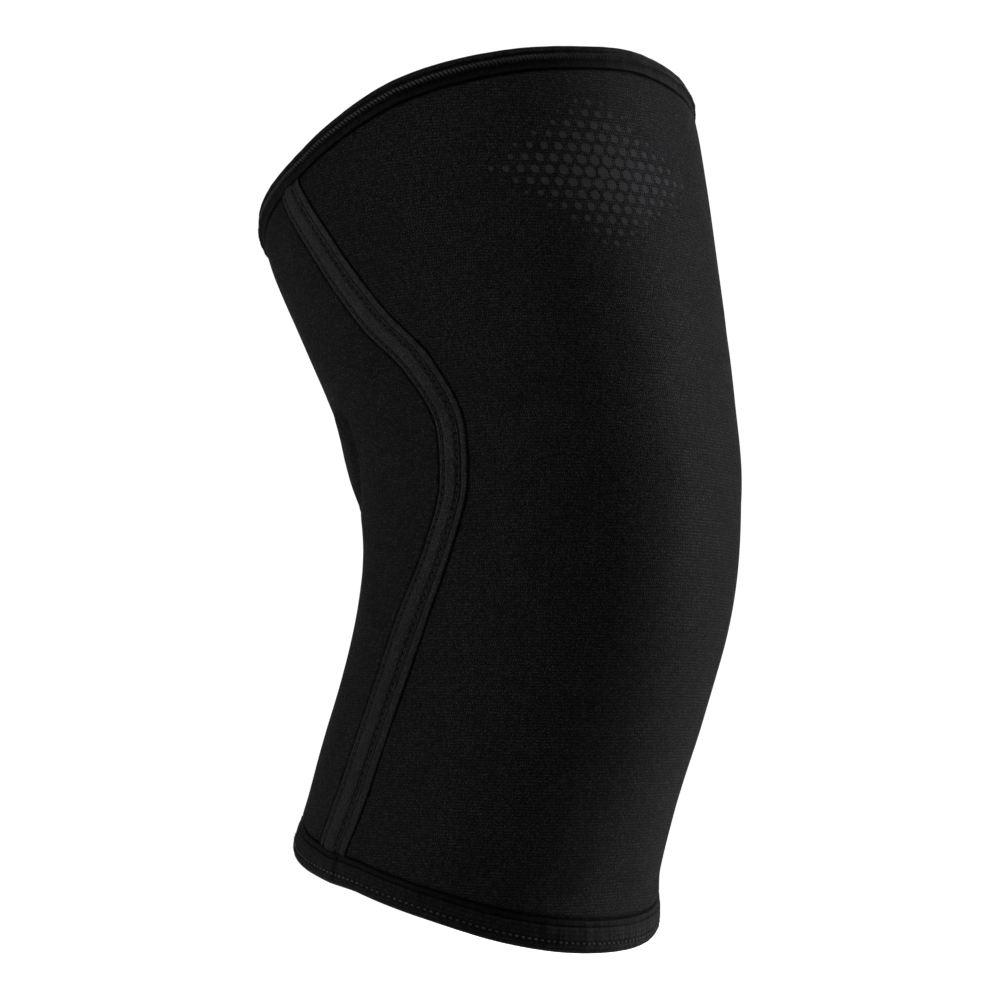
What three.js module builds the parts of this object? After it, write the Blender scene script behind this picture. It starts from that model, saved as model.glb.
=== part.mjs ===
// Knee sleeve of knit-faced foam rubber, in the form that it takes on a slightly bent leg.
// Millimetres. +X is the front of the knee, +Z runs up the leg and +Y is its left side.
// The origin is the middle of the knee, on the leg's centreline, inside the sleeve.
import * as THREE from 'three';

// Half sizes of the outer face, from the centreline, at the knee and at the two rims
const kneeFront = 70;
const kneeBack = 69;
const kneeSide = 69;
const thighFront = 83;
const thighBack = 88;
const thighSide = 84;
const calfFront = 68;
const calfBack = 73.5;
const calfSide = 67;

// The centreline runs up and down from the knee, first round an arc and then straight
const lengthAbove = 136.5;
const lengthBelow = 143.5;
const arcAbove = 45;
const arcBelow = 38;
const leanAbove = 19;
const leanBelow = 17;
const rimSlantAbove = 3.6;
const rimSlantBelow = 1.8;

// Fabric, tapes and bindings
const wall = 5;
const clearance = 0.3;
const tapeWidth = 11;
const tapeThickness = 1.2;
const topBindingHeight = 8.5;
const bottomBindingHeight = 11;
const bindingThickness = 1.1;
const bindingRoll = 2;
const squeeze = 1;
const shoulder = 2;

// Steps of the faceted surfaces
const frontColumns = 20;
const backColumns = 24;
const panelRows = 30;
const tapeColumns = 2;
const rollSteps = 4;

// Half sizes on the way from the knee to a rim, as shares of the straight taper between them.
// at is the share of the way along the centreline.
const thighSections = [
  { at: 0.0, front: 1.0, back: 1.0, side: 1.0 },
  { at: 0.2, front: 0.965, back: 0.98, side: 0.99 },
  { at: 0.4, front: 0.985, back: 0.985, side: 0.99 },
  { at: 0.6, front: 1.0, back: 0.995, side: 1.0 },
  { at: 0.85, front: 1.01, back: 1.015, side: 1.01 },
  { at: 1.0, front: 1.0, back: 1.0, side: 1.0 },
];
const calfSections = [
  { at: 0.0, front: 1.0, back: 1.0, side: 1.0 },
  { at: 0.2, front: 1.01, back: 0.93, side: 0.99 },
  { at: 0.45, front: 0.985, back: 0.885, side: 0.97 },
  { at: 0.7, front: 0.92, back: 0.95, side: 0.975 },
  { at: 0.85, front: 0.915, back: 0.975, side: 0.98 },
  { at: 1.0, front: 1.0, back: 1.0, side: 1.0 },
];

// Line of the side seams. at is the share of the length above the knee, or below it where it is
// negative, and turn is the angle from the middle of the back, in degrees.
const seamLine = [
  { at: -1.0, turn: 82 },
  { at: -0.72, turn: 82 },
  { at: -0.45, turn: 87 },
  { at: -0.25, turn: 94 },
  { at: -0.12, turn: 100 },
  { at: 0.02, turn: 105 },
  { at: 0.14, turn: 106 },
  { at: 0.3, turn: 100 },
  { at: 0.48, turn: 89 },
  { at: 0.7, turn: 80 },
  { at: 1.0, turn: 75 },
];

// How far the wavy rims reach past their plain ends. turn is in degrees from the middle of the back,
// and above and below are shares of the two lengths. The wave fades out at a share of the length.
const rimLine = [
  { turn: 0, above: 0.0, below: 0.028 },
  { turn: 55, above: -0.004, below: 0.03 },
  { turn: 80, above: -0.014, below: 0.012 },
  { turn: 95, above: -0.003, below: -0.005 },
  { turn: 118, above: 0.017, below: -0.007 },
  { turn: 145, above: 0.006, below: 0.003 },
  { turn: 165, above: -0.002, below: 0.007 },
  { turn: 180, above: 0.003, below: 0.007 },
];
const rimFade = 0.55;

// Soft folds behind the knee, alike on both sides: a crease each side, and the bulge between them.
// at and tall are shares of the length above or below the knee, turn and wide are degrees from the
// middle of the back, and deep is a share of the wall, negative where the fabric stands out.
const folds = [
  { at: 0.13, tall: 0.26, turn: 53, wide: 13, deep: 0.8 },
  { at: 0.14, tall: 0.4, turn: 0, wide: 50, deep: -0.9 },
];

const radians = THREE.MathUtils.degToRad;
const degrees = THREE.MathUtils.radToDeg;
const fullTurn = 360;

// Smooth value of a table's column, with no overshoot between its rows. key names the column of places.
function alongTable(table, at, column, key = 'at') {
  const last = table.length - 2;
  const found = table.findIndex((row) => row[key] > at) - 1;
  const k = found < 0 ? (at < table[0][key] ? 0 : last) : Math.min(found, last);
  const step = (i) => table[i + 1][key] - table[i][key];
  const slope = (i) => (table[i + 1][column] - table[i][column]) / step(i);
  const tangent = (i) => {
    if (i === 0 || i === table.length - 1) {
      return 0;
    }
    const before = slope(i - 1);
    const after = slope(i);
    return before * after <= 0 ? 0 : (2 * before * after) / (before + after);
  };
  const u = THREE.MathUtils.clamp((at - table[k][key]) / step(k), 0, 1);
  const startShare = (1 + 2 * u) * (1 - u) ** 2;
  const endShare = u ** 2 * (3 - 2 * u);
  return startShare * table[k][column] + endShare * table[k + 1][column]
    + step(k) * (u * (1 - u) ** 2 * tangent(k) - u ** 2 * (1 - u) * tangent(k + 1));
}

// Half of the leg on one side of the knee
function legEnd(run) {
  return run >= 0
    ? { sign: 1, length: lengthAbove, arc: arcAbove, lean: leanAbove, slant: rimSlantAbove,
        sections: thighSections, front: thighFront, back: thighBack, side: thighSide }
    : { sign: -1, length: lengthBelow, arc: arcBelow, lean: leanBelow, slant: rimSlantBelow,
        sections: calfSections, front: calfFront, back: calfBack, side: calfSide };
}

// Share of the way from the knee to the rim, negative below the knee
function shareAt(run) {
  return run / legEnd(run).length;
}

// Centre, tilt and half sizes of the section at a distance along the centreline from the knee, moved
// on along the straight part by a shift
function sectionAt(run, shift = 0) {
  const end = legEnd(run);
  const away = Math.abs(run);
  const share = away / end.length;
  const lean = radians(end.lean);
  const radius = end.arc / lean;
  const turned = Math.min(away, end.arc) / radius;
  const straight = Math.max(away - end.arc, 0) + shift;
  const half = (column, atKnee, atRim) =>
    alongTable(end.sections, share, column) * THREE.MathUtils.lerp(atKnee, atRim, share);
  return {
    x: -(radius * (1 - Math.cos(turned)) + straight * Math.sin(lean)),
    z: end.sign * (radius * Math.sin(turned) + straight * Math.cos(lean)),
    tilt: end.sign * (turned + radians(end.slant) * share ** 2),
    front: half('front', kneeFront, end.front),
    back: half('back', kneeBack, end.back),
    side: half('side', kneeSide, end.side),
  };
}

// Angle from the middle of the back, alike on both sides
function fromBack(turn) {
  return Math.abs(THREE.MathUtils.euclideanModulo(turn + fullTurn / 2, fullTurn) - fullTurn / 2);
}

// How far the fabric reaches past its plain place on the way to a rim
function rimShift(run, turn) {
  const { sign, length } = legEnd(run);
  const ramp = Math.max((Math.abs(shareAt(run)) - rimFade) / (1 - rimFade), 0) ** 2;
  return ramp * length * alongTable(rimLine, fromBack(turn), sign > 0 ? 'above' : 'below', 'turn');
}

// How far the folds press the fabric in at a place
function foldDepth(run, turn) {
  return folds.reduce((sum, fold) => {
    const up = Math.min(Math.abs((shareAt(run) - fold.at) / fold.tall), 1);
    const round = Math.min(Math.abs((fromBack(turn) - fold.turn) / fold.wide), 1);
    return sum + fold.deep * wall * (1 - up ** 2) ** 2 * (1 - round ** 4) ** 2;
  }, 0);
}

// A point at a depth below the smooth outer face. turn goes from the middle of the back over the
// right side, -Y, to the front, in degrees.
function place(run, turn, depth) {
  const section = sectionAt(run, rimShift(run, turn));
  const inset = depth + foldDepth(run, turn);
  const towardsBack = Math.cos(radians(turn));
  const half = towardsBack > 0 ? section.back : section.front;
  const forward = -towardsBack * (half - inset);
  return new THREE.Vector3(
    section.x + forward * Math.cos(section.tilt),
    -Math.sin(radians(turn)) * (section.side - inset),
    section.z + forward * Math.sin(section.tilt),
  );
}

// Angle that a length along the surface takes up at a seam
function turnOf(length, run) {
  return degrees(length / sectionAt(run).side);
}

function seamTurn(run) {
  return alongTable(seamLine, shareAt(run), 'turn');
}

// Rows of the panels, from the lower end to the upper one. pressed is how far the bindings squeeze
// each face of the fabric there.
const underBinding = bindingThickness + clearance;
const topFoot = lengthAbove - topBindingHeight - clearance;
const bottomFoot = bottomBindingHeight + clearance - lengthBelow;
const fabricRows = [
  { run: underBinding - lengthBelow, pressed: squeeze },
  { run: bottomFoot, pressed: squeeze },
];
for (let i = 0; i <= panelRows; i += 1) {
  const run = THREE.MathUtils.lerp(bottomFoot + shoulder, topFoot - shoulder, i / panelRows);
  fabricRows.push({ run, pressed: 0 });
}
fabricRows.push(
  { run: topFoot, pressed: squeeze },
  { run: lengthAbove - underBinding, pressed: squeeze },
);
const tapeRows = fabricRows.slice(1, -1);

// Turns of the panels' columns in one row, with the panels' edges set back from the seams
function backTurns(run, setBack) {
  const reach = seamTurn(run) - turnOf(setBack, run);
  return Array.from({ length: backColumns + 1 }, (_, j) =>
    THREE.MathUtils.lerp(-reach, reach, j / backColumns));
}

function frontTurns(run, setBack) {
  const start = seamTurn(run) + turnOf(setBack, run);
  return Array.from({ length: frontColumns + 1 }, (_, j) =>
    THREE.MathUtils.lerp(start, fullTurn - start, j / frontColumns));
}

// Geometry of rows of points, whose neighbours are joined by two triangles each
function meshOf(rows, closedRows, closedColumns) {
  const wide = rows[0].length;
  const positions = rows.flat().flatMap((point) => point.toArray());
  const triangles = [];
  const lastRow = closedRows ? rows.length : rows.length - 1;
  const lastColumn = closedColumns ? wide : wide - 1;
  for (let i = 0; i < lastRow; i += 1) {
    for (let j = 0; j < lastColumn; j += 1) {
      const a = i * wide + j;
      const b = i * wide + ((j + 1) % wide);
      const c = ((i + 1) % rows.length) * wide + ((j + 1) % wide);
      const d = ((i + 1) % rows.length) * wide + j;
      triangles.push(a, b, c, a, c, d);
    }
  }
  const geometry = new THREE.BufferGeometry();
  geometry.setAttribute('position', new THREE.Float32BufferAttribute(positions, 3));
  geometry.setIndex(triangles);
  return geometry;
}

// Closed sheet between an outer and an inner grid of points with the same rows and columns.
// Each row goes out over the outer face and back over the inner one, and the two ends are capped.
function sheetOf(outer, inner) {
  const rows = outer.map((row, i) => [...row, ...inner[i].slice().reverse()]);
  const geometry = meshOf(rows, false, true);
  const wide = rows[0].length;
  const columns = outer[0].length;
  const triangles = Array.from(geometry.index.array);
  const topStart = (rows.length - 1) * wide;
  for (let j = 0; j < columns - 1; j += 1) {
    const across = wide - 1 - j;
    triangles.push(j, across, across - 1, j, across - 1, j + 1);
    triangles.push(topStart + j, topStart + across - 1, topStart + across);
    triangles.push(topStart + j, topStart + j + 1, topStart + across - 1);
  }
  geometry.setIndex(triangles);
  return geometry;
}

// Fabric panel whose wall is pressed thinner under the bindings
function panelGeometry(turnsOf) {
  const face = (depthOf) => fabricRows.map((row) =>
    turnsOf(row.run, clearance / 2).map((turn) => place(row.run, turn, depthOf(row.pressed))));
  return sheetOf(face((pressed) => pressed), face((pressed) => wall - pressed));
}

// Covering tape over a side seam. side is 1 on the right, -Y, and -1 on the left.
function tapeGeometry(side) {
  const face = (lift) => tapeRows.map((row) =>
    Array.from({ length: tapeColumns + 1 }, (_, j) => {
      const across = tapeWidth * (j / tapeColumns - 0.5);
      const turn = side * seamTurn(row.run) + turnOf(across, row.run);
      return place(row.run, turn, row.pressed - clearance - lift);
    }));
  return sheetOf(face(tapeThickness), face(0));
}

// Folded binding round a rim. Its section is a U whose closed end is rolled over the rim.
function bindingGeometry(sign, length, height) {
  const outerLining = squeeze - clearance;
  const innerLining = wall - squeeze + clearance;
  const outside = outerLining - bindingThickness;
  const inside = innerLining + bindingThickness;
  const middle = (outside + inside) / 2;
  const profile = [{ depth: outside, fromRim: height }];
  for (let i = 0; i <= rollSteps; i += 1) {
    const angle = (Math.PI * i) / rollSteps;
    profile.push({
      depth: middle - (middle - outside) * Math.cos(angle),
      fromRim: bindingRoll * (1 - Math.sin(angle)),
    });
  }
  profile.push(
    { depth: inside, fromRim: height },
    { depth: innerLining, fromRim: height },
    { depth: innerLining, fromRim: bindingThickness },
    { depth: outerLining, fromRim: bindingThickness },
    { depth: outerLining, fromRim: height },
  );
  const ordered = sign > 0 ? profile : profile.reverse();
  const rows = ordered.map(({ depth, fromRim }) => {
    const run = sign * (length - fromRim);
    const turns = [...backTurns(run, 0).slice(1), ...frontTurns(run, 0).slice(1)];
    return turns.map((turn) => place(run, turn, depth));
  });
  return meshOf(rows, true, true);
}

// Materials: near-black knit on the front, smoother knit behind, and woven tapes
function fabric(colour, roughness) {
  return new THREE.MeshStandardMaterial({ color: colour, roughness, metalness: 0 });
}

const frontFabric = fabric(0x1b1b1c, 0.85);
const backFabric = fabric(0x17171a, 0.9);
const tapeFabric = fabric(0x202022, 0.75);
const bindingFabric = fabric(0x151516, 0.7);

const sleeve = new THREE.Group();

function addPiece(name, geometry, material) {
  const mesh = new THREE.Mesh(geometry, material);
  mesh.name = name;
  geometry.computeVertexNormals();
  sleeve.add(mesh);
}

addPiece('front_panel', panelGeometry(frontTurns), frontFabric);
addPiece('back_panel', panelGeometry(backTurns), backFabric);
addPiece('seam_tape_right', tapeGeometry(1), tapeFabric);
addPiece('seam_tape_left', tapeGeometry(-1), tapeFabric);
addPiece('top_binding', bindingGeometry(1, lengthAbove, topBindingHeight), bindingFabric);
addPiece('bottom_binding', bindingGeometry(-1, lengthBelow, bottomBindingHeight), bindingFabric);

export default sleeve;
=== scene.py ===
"""Dresses the knee sleeve: knit panels, stitched seam tapes, folded and stitched bindings, a dotted print.

Every surface is a function of two parameters. run is the distance along the leg's centreline from the
middle of the knee, and turn is the angle round the leg from the middle of the back over the right side.
"""
import math

import bpy
import numpy as np
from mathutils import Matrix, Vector


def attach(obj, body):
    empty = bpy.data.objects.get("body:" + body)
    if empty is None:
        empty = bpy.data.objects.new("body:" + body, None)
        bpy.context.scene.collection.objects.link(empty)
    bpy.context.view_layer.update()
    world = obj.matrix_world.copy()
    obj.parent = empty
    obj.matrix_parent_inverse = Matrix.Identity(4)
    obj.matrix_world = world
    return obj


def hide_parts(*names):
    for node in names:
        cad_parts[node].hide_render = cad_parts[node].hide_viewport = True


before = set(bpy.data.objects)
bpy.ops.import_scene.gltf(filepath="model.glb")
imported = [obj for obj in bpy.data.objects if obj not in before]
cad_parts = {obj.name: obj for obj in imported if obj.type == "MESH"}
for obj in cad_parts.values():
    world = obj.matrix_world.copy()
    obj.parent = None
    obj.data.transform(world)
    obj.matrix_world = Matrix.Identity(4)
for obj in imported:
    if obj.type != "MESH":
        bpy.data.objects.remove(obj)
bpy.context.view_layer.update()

MM = 0.001

# Half sizes of the outer face at the knee and at the rims, and the centreline, in metres and degrees
KNEE = {"front": 70 * MM, "back": 69 * MM, "side": 69 * MM}
THIGH = {"front": 83 * MM, "back": 88 * MM, "side": 84 * MM}
CALF = {"front": 68 * MM, "back": 73.5 * MM, "side": 67 * MM}
LENGTH_ABOVE = 136.5 * MM
LENGTH_BELOW = 143.5 * MM
ARC_ABOVE = 45 * MM
ARC_BELOW = 38 * MM
LEAN_ABOVE = 19
LEAN_BELOW = 17
RIM_SLANT_ABOVE = 3.6
RIM_SLANT_BELOW = 1.8

# Fabric, tapes and bindings
WALL = 5 * MM
TAPE_WIDTH = 11 * MM
TAPE_DIP = 0.7 * MM
TAPE_DIP_REACH = 1.2 * MM
TOP_BINDING = 8.5 * MM
BOTTOM_BINDING = 11 * MM
BINDING_CLOTH = 1.1 * MM
ROLL = 2.4 * MM
SQUEEZE = 1 * MM
SHOULDER = 1.8 * MM
PANEL_GAP = 0.1 * MM
TAPE_UNDER_BINDING = 1.5 * MM
TAPE_TUCK_REACH = 3 * MM
TAPE_BUMP = 0.55 * MM
TAPE_BUMP_REACH = 5.5 * MM

# Puckers and waves of the cloth: heights, and how far the puckers reach from a seam or a binding
SEAM_PUCKER = 0.13 * MM
SEAM_PUCKER_REACH = 5 * MM
HEM_PUCKER = 0.12 * MM
HEM_PUCKER_REACH = 7 * MM
CLOTH_WAVE = 0.22 * MM
TAPE_RUMPLE = 0.07 * MM
BINDING_PUCKER = 0.17 * MM
ROLL_PUCKER = 0.1 * MM
STITCH_PULL = 0.06 * MM

# The same waves' lengths in millimetres, and their phases
SEAM_WAVES = ((7.3, 0.3), (4.9, 1.9), (11.9, 4.0))
HEM_WAVES = ((9.1, 1.1), (6.3, 0.2), (15.7, 2.7))
RISING_WAVES = ((61, 0.4), (43, 2.2))
ROUND_WAVES = ((73, 2.0), (52, 5.1))
TAPE_WAVES = ((3.1, 2.5), (8.7, 4.1))
BINDING_WAVES = ((8.3, 0.7), (5.7, 3.1), (13.9, 1.3))

# Half sizes on the way from the knee to a rim, as shares of the straight taper between them
SECTION = [("at", float), ("front", float), ("back", float), ("side", float)]
THIGH_SECTIONS = np.array([
    (0.0, 1.0, 1.0, 1.0),
    (0.2, 0.965, 0.98, 0.99),
    (0.4, 0.985, 0.985, 0.99),
    (0.6, 1.0, 0.995, 1.0),
    (0.85, 1.01, 1.015, 1.01),
    (1.0, 1.0, 1.0, 1.0),
], dtype=SECTION)
CALF_SECTIONS = np.array([
    (0.0, 1.0, 1.0, 1.0),
    (0.2, 1.01, 0.93, 0.99),
    (0.45, 0.985, 0.885, 0.97),
    (0.7, 0.92, 0.95, 0.975),
    (0.85, 0.915, 0.975, 0.98),
    (1.0, 1.0, 1.0, 1.0),
], dtype=SECTION)

# Line of the side seams: share of the length above or below the knee, and degrees from the back
SEAM_LINE = np.array([
    (-1.0, 78.5),
    (-0.72, 84),
    (-0.45, 89.5),
    (-0.25, 95),
    (-0.12, 100),
    (0.02, 105),
    (0.14, 106),
    (0.3, 100),
    (0.48, 89.6),
    (0.7, 81.8),
    (1.0, 76),
], dtype=[("at", float), ("turn", float)])

# Width of the seam tape as a share of its width at the knee
TAPE_SPREAD = np.array([
    (-1.0, 1.45),
    (-0.59, 1.4),
    (-0.35, 1.28),
    (-0.15, 1.03),
    (0.0, 1.0),
    (0.15, 1.0),
    (0.3, 1.1),
    (0.46, 1.22),
    (0.7, 1.2),
    (1.0, 1.18),
], dtype=[("at", float), ("width", float)])

# How far the rims reach past the plain ends: degrees from the back, and shares of the lengths
RIM_LINE = np.array([
    (0, 0.0, 0.028),
    (55, -0.004, 0.03),
    (80, -0.014, 0.012),
    (95, -0.003, -0.005),
    (118, 0.017, -0.007),
    (145, 0.006, 0.003),
    (165, -0.002, 0.007),
    (180, 0.003, 0.007),
], dtype=[("turn", float), ("top", float), ("bottom", float)])
RIM_REACH = 0.55

# Folds behind the knee: place and height as shares of the length, place and width in degrees, and
# depth as a share of the wall, negative where the fabric stands out
FOLDS = np.array([
    (0.16, 0.26, 0, 55, -1.1),
    (0.15, 0.2, 30, 6, 0.16),
], dtype=[("at", float), ("tall", float), ("turn", float), ("wide", float), ("deep", float)])

# Lip of the hollow behind the knee: share of the length above it, degrees from the back, and the drop
# behind the lip as a share of the wall
LIP_LINE = np.array([
    (-0.06, 49, 0.0),
    (0.0, 53, 0.4),
    (0.08, 57.5, 0.7),
    (0.19, 60.5, 0.85),
    (0.27, 61, 0.85),
    (0.33, 60, 0.8),
    (0.365, 56.5, 0.55),
    (0.42, 48, 0.0),
], dtype=[("at", float), ("turn", float), ("deep", float)])

# Degrees from the lip to the foot of the drop, and to the start and the end of the slow rise behind it
LIP_DROP = 2.6
HOLLOW_FLOOR = 3
HOLLOW_END = 12

# Section of the seam tape, from its back edge at -1 to its front edge at 1, in millimetres of lift
TAPE_SECTION = np.array([
    (-1.0, -0.6),
    (-0.985, -0.1),
    (-0.94, 0.16),
    (-0.84, 0.26),
    (-0.78, 0.2),
    (-0.74, -0.3),
    (-0.64, -0.3),
    (-0.58, 0.3),
    (-0.45, 0.65),
    (-0.2, 0.8),
    (0.08, 0.72),
    (0.22, 0.4),
    (0.27, -0.3),
    (0.36, -0.3),
    (0.41, 0.32),
    (0.48, 0.34),
    (0.56, -0.1),
    (0.64, 0.36),
    (0.85, 0.55),
    (0.95, 0.45),
    (0.985, 0.2),
    (1.0, -0.6),
], dtype=[("at", float), ("lift", float)])
TAPE_STITCH_LINES = (-0.69, 0.31)

# Outer face of the bindings: millimetres from the rim, and millimetres of lift
TOP_FACE = np.array([
    (2.4, 0.4),
    (3.2, 0.1),
    (3.7, 0.2),
    (4.2, 0.65),
    (4.9, 0.8),
    (5.6, 0.5),
    (6.1, 0.0),
    (6.7, 0.06),
    (7.6, 0.12),
    (8.15, 0.08),
    (8.42, -0.15),
    (8.5, -0.7),
], dtype=[("at", float), ("lift", float)])
BOTTOM_FACE = np.array([
    (2.4, 0.36),
    (3.2, 0.34),
    (4.0, 0.1),
    (4.8, 0.32),
    (6.5, 0.34),
    (8.2, 0.26),
    (8.8, 0.1),
    (9.1, -0.4),
    (9.4, 0.0),
    (10.0, 0.07),
    (10.6, 0.02),
    (10.9, -0.12),
    (11.0, -0.7),
], dtype=[("at", float), ("lift", float)])
BINDING_END_TURN = 84
BINDING_END_WIDTH = 0.8 * MM
BINDING_END_DEPTH = 0.4 * MM

# Stitches: distance from the rim, pitch, length, radius, slant to the line in degrees, and arch
TOP_STITCHES = {
    "from_rim": 4.8 * MM,
    "pitch": 1.5 * MM,
    "length": 2.0 * MM,
    "radius": 0.33 * MM,
    "slant": 52,
    "arch": 0.15 * MM,
}
BOTTOM_STITCHES = {
    "from_rim": 4.0 * MM,
    "pitch": 2.4 * MM,
    "length": 1.2 * MM,
    "radius": 0.34 * MM,
    "slant": 0,
    "arch": 0.15 * MM,
}
TAPE_STITCHES = {
    "pitch": 2.9 * MM,
    "length": 2.5 * MM,
    "radius": 0.2 * MM,
    "slant": 0,
    "arch": 0.05 * MM,
}
STITCH_LIFT = 0.08 * MM

# Painted shade in the grooves beside a tape or a binding: where it starts and ends, and its end behind a
# tape
GROOVE_START = 0.05 * MM
GROOVE_END = 0.5 * MM
GROOVE_END_BEHIND = 1.6 * MM

# How much painted shade falls on the hollow's lip and on the tapes below the knee, as shares of the full
# painted shade
LIP_SHADE = 0.65
TAPE_SHADE = 0.34

# A radius that the knit's coordinate round the leg is measured on
UV_RADIUS = 70 * MM

# Steps of the fine surfaces
PANEL_ROWS = 230
ROW_GATHER = 0.5
COLUMN_GATHER = 0.7
FRONT_COLUMNS = 180
BACK_COLUMNS = 200
TAPE_ROWS = 300
TAPE_COLUMNS = 61
BINDING_COLUMNS = 720
BINDING_FACE_ROWS = 60
BINDING_ROLL_ROWS = 15
BINDING_INNER_ROWS = 8
BINDING_PATH_POINTS = 1441
TAPE_PATH_POINTS = 400
STITCH_RINGS = 7
STITCH_SIDES = 6

# The print on the front of the thigh, on the panel's own coordinates
PRINT_TURN = 163
PRINT_RUN = 90 * MM
PRINT_HALF_WIDTH = 44 * MM
PRINT_HALF_HEIGHT = 31 * MM
PRINT_DOT_STEP = 5.0 * MM
PRINT_DOT_RADIUS = 2.05 * MM
PRINT_DOT_EDGE = 0.12 * MM
PRINT_FADE = 0.35
PRINT_COVER = 0.93
PRINT_COLOUR = (0.042, 0.042, 0.045, 1)

# What the print does to the knit: its gain in gloss, the share of the relief it fills, and its height
PRINT_GLOSS = 0.1
PRINT_FILL = 0.85
PRINT_RISE = 0.6

# The photograph's view: its frame in pixels, the size of one pixel at the object, and a film width in mm
FRAME_PIXELS = 994
MM_PER_PIXEL = 0.365
SENSOR_WIDTH = 36
VIEW_AZIMUTH = 45
VIEW_ELEVATION = -4.5
VIEW_DISTANCE = 1.1
VIEW_TARGET = Vector((-13.65, -13.65, 3.0)) * MM


def along_table(table, at, column, key="at"):
    """Smooth value of a table's column at at: cubic between the rows, with harmonic-mean tangents."""
    places, values = table[key], table[column].astype(float)
    step = np.diff(places)
    slope = np.diff(values) / step
    same_way = slope[:-1] * slope[1:] > 0
    total = np.where(same_way, slope[:-1] + slope[1:], 1)
    tangent = np.zeros(len(places))
    tangent[1:-1] = np.where(same_way, 2 * slope[:-1] * slope[1:] / total, 0)
    k = np.clip(np.searchsorted(places, at, side="right") - 1, 0, len(step) - 1)
    u = np.clip((at - places[k]) / step[k], 0, 1)
    start = (1 + 2 * u) * (1 - u) ** 2
    return (start * values[k] + (1 - start) * values[k + 1]
            + step[k] * (u * (1 - u) ** 2 * tangent[k] - u ** 2 * (1 - u) * tangent[k + 1]))


def share_at(run):
    """run as a share of the length on its side of the knee, negative below the knee."""
    return run / np.where(run >= 0, LENGTH_ABOVE, LENGTH_BELOW)


def from_back(turn):
    """Angle from the middle of the back, alike on both sides, in degrees."""
    return np.abs((turn + 180) % 360 - 180)


def from_binding(run):
    """Distance along the leg from the nearer binding's foot, negative under the binding."""
    return np.minimum(LENGTH_ABOVE - TOP_BINDING - run, LENGTH_BELOW - BOTTOM_BINDING + run)


def pressed(run):
    """How far a binding presses each face of the cloth in."""
    return SQUEEZE * (1 - smooth_step(0, SHOULDER, from_binding(run)))


def half_size(run, column):
    """The straight taper from the knee to the rim, times the section table's share."""
    share = np.abs(share_at(run))
    up = along_table(THIGH_SECTIONS, share, column) * (KNEE[column] + (THIGH[column] - KNEE[column]) * share)
    down = along_table(CALF_SECTIONS, share, column) * (KNEE[column] + (CALF[column] - KNEE[column]) * share)
    return np.where(run >= 0, up, down)


def half_depth(run, turn):
    """Half size towards the back or the front, whichever side of the leg the turn is on."""
    return np.where(np.cos(np.radians(turn)) > 0, half_size(run, "back"), half_size(run, "front"))


def seam_turn(run):
    """Angle of the side seam from the middle of the back, in degrees."""
    return along_table(SEAM_LINE, share_at(run), "turn")


def tape_half(run):
    """Half of the seam tape's width."""
    return TAPE_WIDTH / 2 * along_table(TAPE_SPREAD, share_at(run), "width")


def hollow(run, turn):
    """Angle from the hollow's lip towards the back, in degrees, and the hollow's depth at that run."""
    share = share_at(run)
    from_lip = along_table(LIP_LINE, share, "turn") - from_back(turn)
    return from_lip, along_table(LIP_LINE, share, "deep") * WALL


def fold_depth(run, turn):
    """The hollow, a steep drop behind its lip and a slow rise, plus the folds.

    Each fold is deep * (1 - up^2)^2 * (1 - round^4)^2 within its height and width.
    """
    share = share_at(run)
    from_lip, deep = hollow(run, turn)
    rise = smooth_step(HOLLOW_FLOOR, HOLLOW_END, from_lip)
    depth = smooth_step(0, LIP_DROP, from_lip) * (1 - rise) * deep
    for fold in FOLDS:
        up = np.minimum(np.abs((share - fold["at"]) / fold["tall"]), 1)
        across = np.minimum(np.abs((from_back(turn) - fold["turn"]) / fold["wide"]), 1)
        depth = depth + fold["deep"] * WALL * (1 - up ** 2) ** 2 * (1 - across ** 4) ** 2
    return depth


def rim_shift(run, turn):
    """Extra length near a rim, so that its line waves: the rim line's share times a squared ramp."""
    share = share_at(run)
    ramp = np.clip((np.abs(share) - RIM_REACH) / (1 - RIM_REACH), 0, 1) ** 2
    above = LENGTH_ABOVE * along_table(RIM_LINE, from_back(turn), "top", "turn")
    below = LENGTH_BELOW * along_table(RIM_LINE, from_back(turn), "bottom", "turn")
    return ramp * np.where(share >= 0, above, below)


def centre_turned(run):
    """How far the centreline has turned from the knee, in radians, and the radius of its arc."""
    lean = np.radians(np.where(run >= 0, LEAN_ABOVE, LEAN_BELOW))
    arc = np.where(run >= 0, ARC_ABOVE, ARC_BELOW)
    return np.minimum(np.abs(run), arc) * lean / arc, arc / lean


def place(run, turn, lift):
    """Point at run and turn, lift above the smooth outer face: a half-and-half ellipse in a tilted plane.

    The centreline is an arc from the knee and then straight, x = -(R (1 - cos a) + rest sin lean) and
    z = R sin a + rest cos lean, and the plane tilts by a plus a share of the rim's slant.
    """
    run, turn, lift = np.broadcast_arrays(*(np.asarray(v, float) for v in (run, turn, lift)))
    sign = np.where(run >= 0, 1.0, -1.0)
    lean = np.radians(np.where(run >= 0, LEAN_ABOVE, LEAN_BELOW))
    slant = np.radians(np.where(run >= 0, RIM_SLANT_ABOVE, RIM_SLANT_BELOW))
    angle, radius = centre_turned(run)
    rest = np.abs(run) - angle * radius + rim_shift(run, turn)
    tilt = sign * (angle + slant * share_at(run) ** 2)
    round_leg = np.radians(turn)
    outward = lift - fold_depth(run, turn)
    forward = -np.cos(round_leg) * (half_depth(run, turn) + outward)
    x = -(radius * (1 - np.cos(angle)) + rest * np.sin(lean)) + forward * np.cos(tilt)
    y = -np.sin(round_leg) * (half_size(run, "side") + outward)
    z = sign * (radius * np.sin(angle) + rest * np.cos(lean)) + forward * np.sin(tilt)
    return np.stack([x, y, z], -1)


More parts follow.
